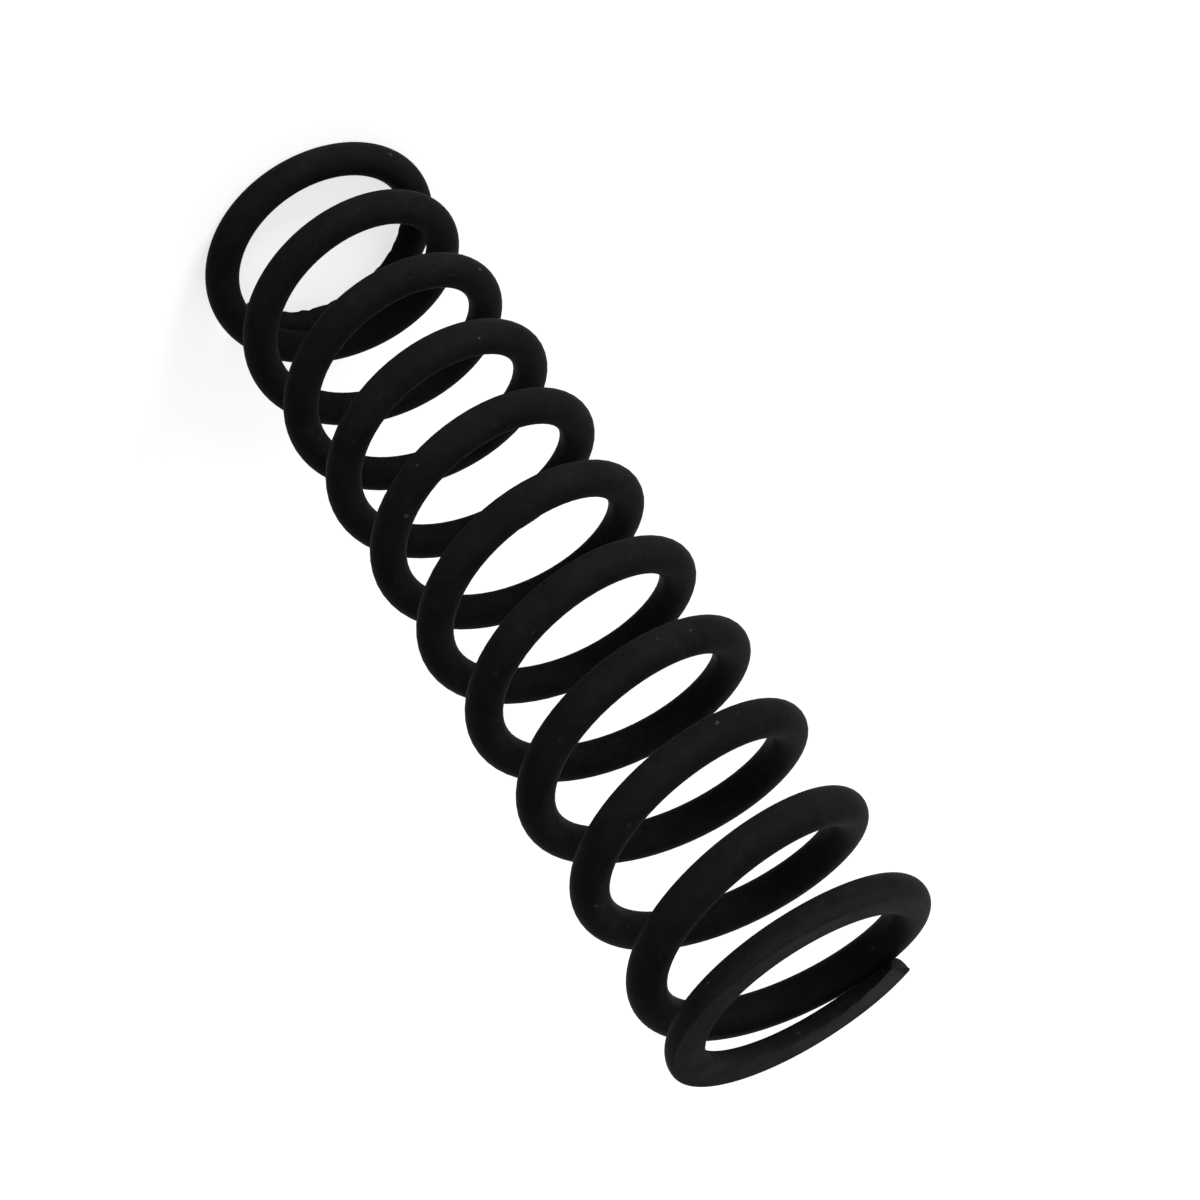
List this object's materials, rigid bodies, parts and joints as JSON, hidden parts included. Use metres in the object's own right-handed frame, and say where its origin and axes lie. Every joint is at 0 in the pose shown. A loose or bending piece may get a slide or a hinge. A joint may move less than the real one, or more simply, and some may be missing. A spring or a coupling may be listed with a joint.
{
  "type": "tensioner spring",
  "caption": "Open coil compression spring of round black wire, wound right-hand, with closed ends ground flat, for a belt or chain tensioner.",
  "frame": {"origin": "on the coil's axis, at the lower ground face", "axes": "+Z along the coil's axis towards the upper ground face; the lower wire tip lies on +X"},
  "size_m": [0.0152, 0.0152, 0.0565],
  "materials": {
    "black_wire": "matte black phosphate over spring steel"
  },
  "bodies": {
    "root": {"spring": "black_wire"}
  },
  "joints": []
}
